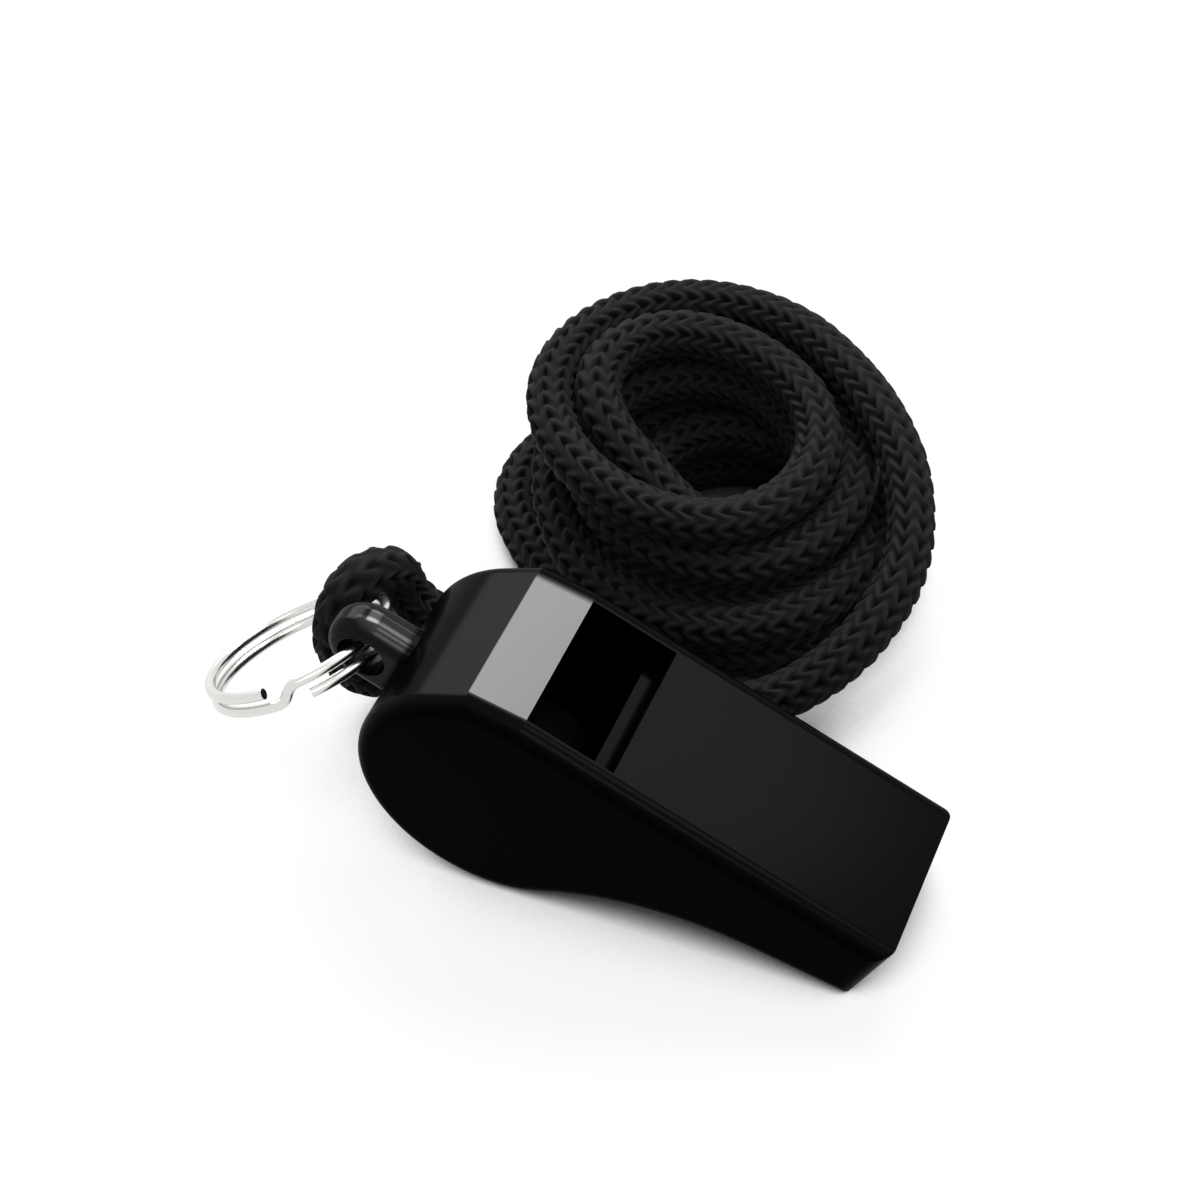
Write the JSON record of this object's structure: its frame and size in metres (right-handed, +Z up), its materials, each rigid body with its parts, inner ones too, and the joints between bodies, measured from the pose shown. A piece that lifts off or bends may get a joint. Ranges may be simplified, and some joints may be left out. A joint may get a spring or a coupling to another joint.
{
  "type": "pea whistle",
  "caption": "Black moulded pea whistle with a sloped ramp behind its window, a loose ball in the chamber, a wire split ring in its ear and a coiled knitted neck lanyard.",
  "frame": {"origin": "on the table, under the axis of the pea chamber, halfway across the body", "axes": "+X towards the mouthpiece, +Y to the far side, +Z up"},
  "size_m": [0.0731, 0.071, 0.0275],
  "materials": {
    "body_plastic": "satin",
    "pea_plastic": "matte",
    "ring_steel": "polished",
    "cord_knit": "knitted"
  },
  "bodies": {
    "whistle": {"body_shell": "body_plastic", "side_cover": "body_plastic", "lanyard_loop": "cord_knit", "lanyard_coil": "cord_knit"},
    "pea": {"pea": "pea_plastic"},
    "ring": {"split_ring": "ring_steel"}
  },
  "joints": [
    {"name": "pea_orbit", "type": "hinge", "parent": "whistle", "child": "pea", "pos_m": [0, 0, 0.0134], "axis": [0, 1, 0], "continuous": true},
    {"name": "ring_swing", "type": "hinge", "parent": "whistle", "child": "ring", "pos_m": [-0.01521, 0, 0.02055], "axis": [0, 1, 0], "range_deg": [-25, 110], "deforming": ["lanyard_loop"]}
  ]
}
